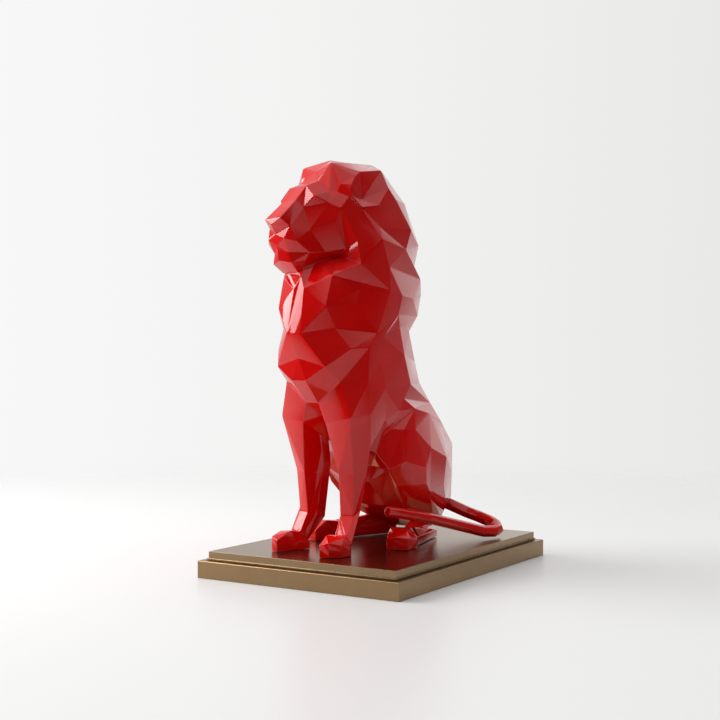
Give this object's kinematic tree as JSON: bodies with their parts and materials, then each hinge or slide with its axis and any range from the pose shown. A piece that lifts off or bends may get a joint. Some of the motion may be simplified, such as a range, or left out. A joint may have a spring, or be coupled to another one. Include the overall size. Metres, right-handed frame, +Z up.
{
  "type": "faceted lion sculpture",
  "caption": "Table sculpture of a seated lion cast in flat facets, head turned, tail curled round one side, on a two-step rectangular plinth.",
  "frame": {"origin": "centre of the plinth's underside", "axes": "+Z up, -Y the way the lion's body faces, +X to the lion's left"},
  "size_m": [0.22, 0.3, 0.3973],
  "materials": {
    "lacquer": "high gloss deep red lacquer",
    "slab": "satin antique bronze",
    "plate": "polished dark bronze"
  },
  "bodies": {
    "root": {"lion": "lacquer", "plinth_slab": "slab", "plinth_plate": "plate"}
  },
  "joints": []
}
